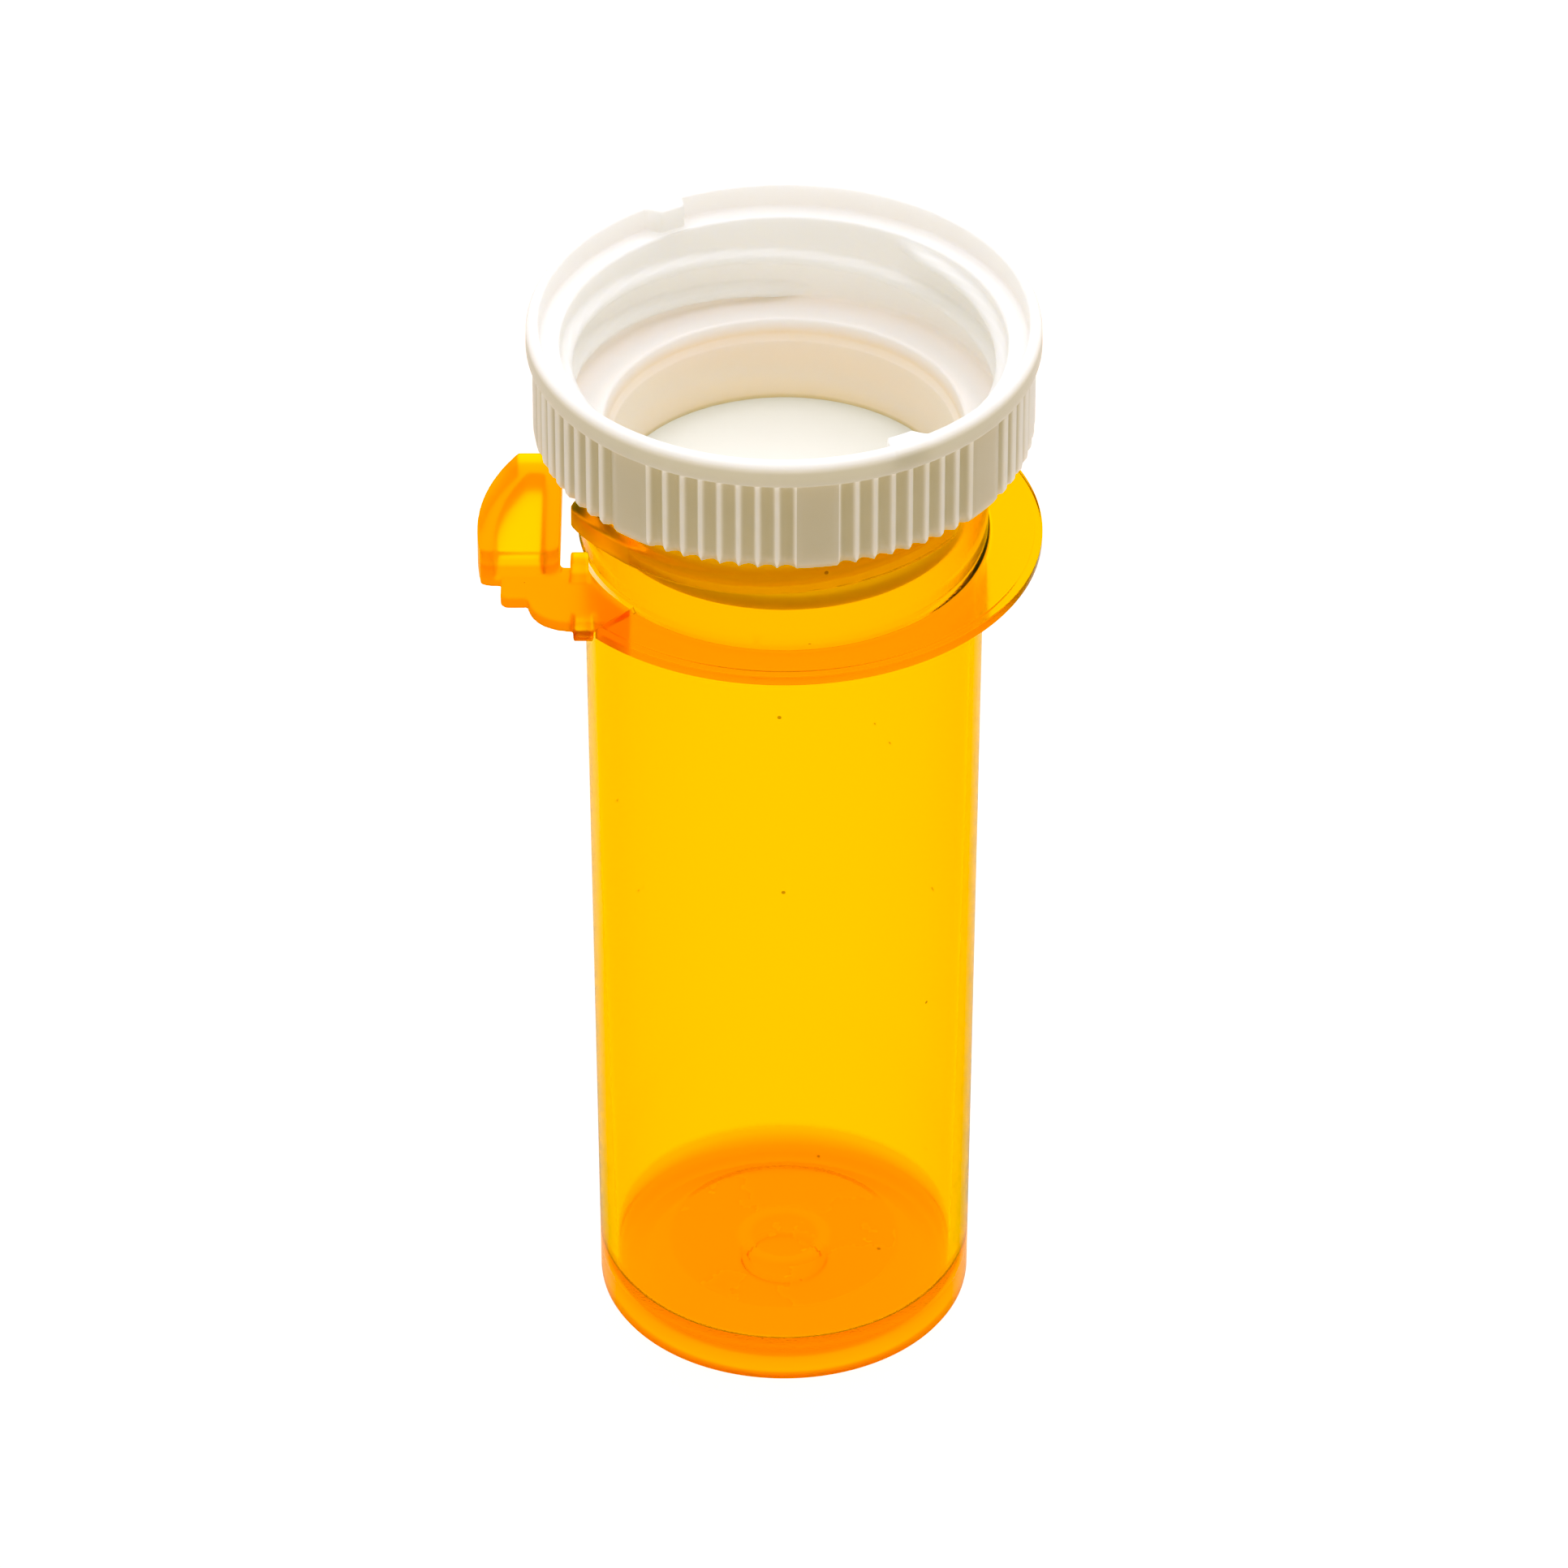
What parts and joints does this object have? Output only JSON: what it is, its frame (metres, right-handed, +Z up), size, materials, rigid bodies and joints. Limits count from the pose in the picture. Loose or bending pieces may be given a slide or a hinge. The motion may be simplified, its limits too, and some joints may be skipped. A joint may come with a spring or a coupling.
{
  "type": "prescription vial",
  "caption": "Tall amber tablet vial with a collar, a press-down release lever and a ribbed white reversible screw cap fitted hollow side up.",
  "frame": {"origin": "centre of the vial's flat underside, on the vial's axis", "axes": "+Z up along the vial's axis to the cap; the release lever is on the -X side"},
  "size_m": [0.0417, 0.0382, 0.089],
  "materials": {
    "amber_plastic": "clear amber polypropylene, glossy outside and slightly hazy",
    "white_plastic": "opaque white polypropylene, satin with a soft gloss on the rim"
  },
  "bodies": {
    "vial": {"vial_body": "amber_plastic"},
    "lever": {"release_lever": "amber_plastic"},
    "cap_carrier": {"cap_plug_floor": "white_plastic"},
    "cap": {"reversible_cap": "white_plastic"}
  },
  "joints": [
    {"name": "lever_press", "type": "hinge", "parent": "vial", "child": "lever", "pos_m": [-0.01295, -0.0125, 0.0697], "axis": [-0.7193, -0.6947, 0], "range_deg": [0, 14], "stiffness_Nm_per_rad": 0.5},
    {"name": "cap_rise", "type": "slide", "parent": "vial", "child": "cap_carrier", "axis": [0, 0, 1], "range_m": [0, 0.0121]},
    {"name": "cap_turn", "type": "hinge", "parent": "cap_carrier", "child": "cap", "pos_m": [0, 0, 0.079], "axis": [0, 0, 1], "range_deg": [0, 720]}
  ],
  "couplings": [
    {"joint": "cap_rise", "follows": "cap_turn", "m_per_rad": 0.00095493}
  ]
}
